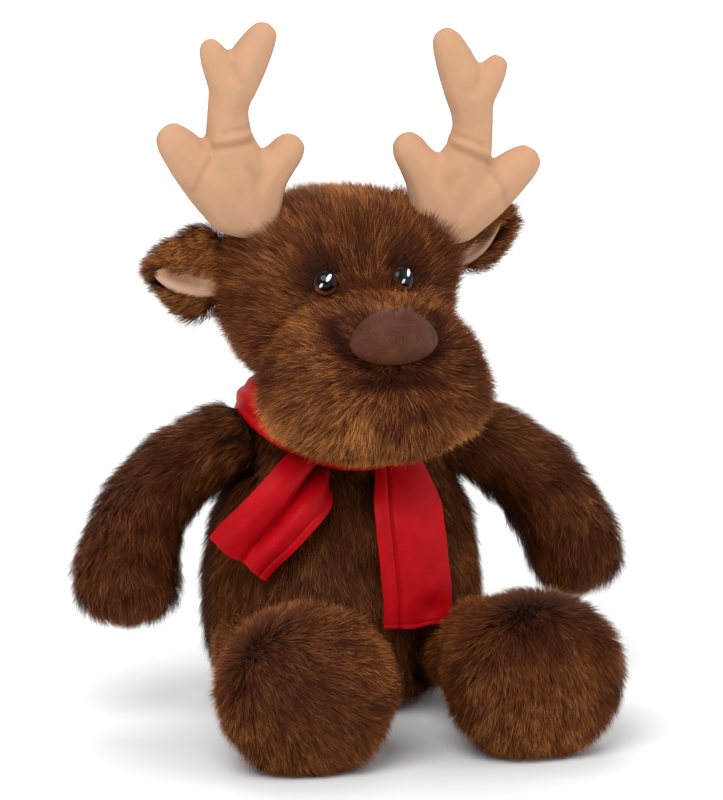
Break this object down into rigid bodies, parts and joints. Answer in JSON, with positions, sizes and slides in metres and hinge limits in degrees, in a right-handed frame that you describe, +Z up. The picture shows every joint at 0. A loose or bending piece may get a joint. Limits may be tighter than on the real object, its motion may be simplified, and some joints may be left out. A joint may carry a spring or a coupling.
{
  "type": "plush deer",
  "caption": "Seated plush deer with stuffed velour antlers, a broad muzzle, domed button eyes and a satin scarf with two hanging ends.",
  "frame": {"origin": "middle of the flat under the torso, on the surface the deer sits on", "axes": "+Z up; the deer faces -Y; its own left side is at +X"},
  "size_m": [0.367, 0.3005, 0.4602],
  "materials": {
    "brown_fur": "long brown pile with lighter tips",
    "sole_fur": "long brown pile, brushed out from the middle of the sole",
    "tan_velour": "short tan velour",
    "ear_lining": "short tan velour",
    "red_satin": "red satin cloth with a soft sheen",
    "nose_cloth": "dark brown satin cloth",
    "eye_plastic": "polished black",
    "washer_plastic": "moulded white",
    "fibre_filling": "loose white fibre"
  },
  "bodies": {
    "torso": {"torso_cover": "brown_fur", "torso_filling": "fibre_filling", "tail": "brown_fur", "scarf": "red_satin"},
    "head": {"antler_cover_left": "tan_velour", "antler_cover_right": "tan_velour", "antler_filling_left": "fibre_filling", "antler_filling_right": "fibre_filling", "eye_left": "eye_plastic", "eye_right": "eye_plastic", "eye_washer_left": "washer_plastic", "eye_washer_right": "washer_plastic", "head_cover": "brown_fur", "head_filling": "fibre_filling", "muzzle_cover": "brown_fur", "nose": "nose_cloth"},
    "ear_left": {"ear_back_left": "brown_fur", "ear_lining_left": "ear_lining"},
    "arm_left": {"arm_cover_left": "brown_fur", "arm_filling_left": "fibre_filling"},
    "leg_left": {"leg_cover_left": "brown_fur", "leg_filling_left": "fibre_filling", "sole_left": "sole_fur"},
    "ear_right": {"ear_back_right": "brown_fur", "ear_lining_right": "ear_lining"},
    "arm_right": {"arm_cover_right": "brown_fur", "arm_filling_right": "fibre_filling"},
    "leg_right": {"leg_cover_right": "brown_fur", "leg_filling_right": "fibre_filling", "sole_right": "sole_fur"}
  },
  "joints": [
    {"name": "neck_turn", "type": "hinge", "parent": "torso", "child": "head", "pos_m": [0, 0, 0.215], "axis": [0, 0, 1], "range_deg": [-14, 14], "stiffness_Nm_per_rad": 0.4},
    {"name": "ear_fold_left", "type": "hinge", "parent": "head", "child": "ear_left", "pos_m": [0.0753, 0.009, 0.29674], "axis": [-0.3584, 0, 0.9336], "range_deg": [-22, 22], "stiffness_Nm_per_rad": 0.02},
    {"name": "arm_swing_left", "type": "hinge", "parent": "torso", "child": "arm_left", "pos_m": [0.058, 0, 0.184], "axis": [0.9272, 0, -0.3746], "range_deg": [-30, 12], "stiffness_Nm_per_rad": 0.5},
    {"name": "leg_swing_left", "type": "hinge", "parent": "torso", "child": "leg_left", "pos_m": [0.066, -0.048, 0.044], "axis": [0, 0, 1], "range_deg": [0, 14], "stiffness_Nm_per_rad": 0.6},
    {"name": "ear_fold_right", "type": "hinge", "parent": "head", "child": "ear_right", "pos_m": [-0.07778, 0.005, 0.28576], "axis": [0.2079, 0, 0.9781], "range_deg": [-22, 22], "stiffness_Nm_per_rad": 0.02},
    {"name": "arm_swing_right", "type": "hinge", "parent": "torso", "child": "arm_right", "pos_m": [-0.058, 0, 0.184], "axis": [-0.9272, 0, -0.3746], "range_deg": [-12, 30], "stiffness_Nm_per_rad": 0.5},
    {"name": "leg_swing_right", "type": "hinge", "parent": "torso", "child": "leg_right", "pos_m": [-0.066, -0.048, 0.044], "axis": [0, 0, 1], "range_deg": [-14, 0], "stiffness_Nm_per_rad": 0.6}
  ]
}
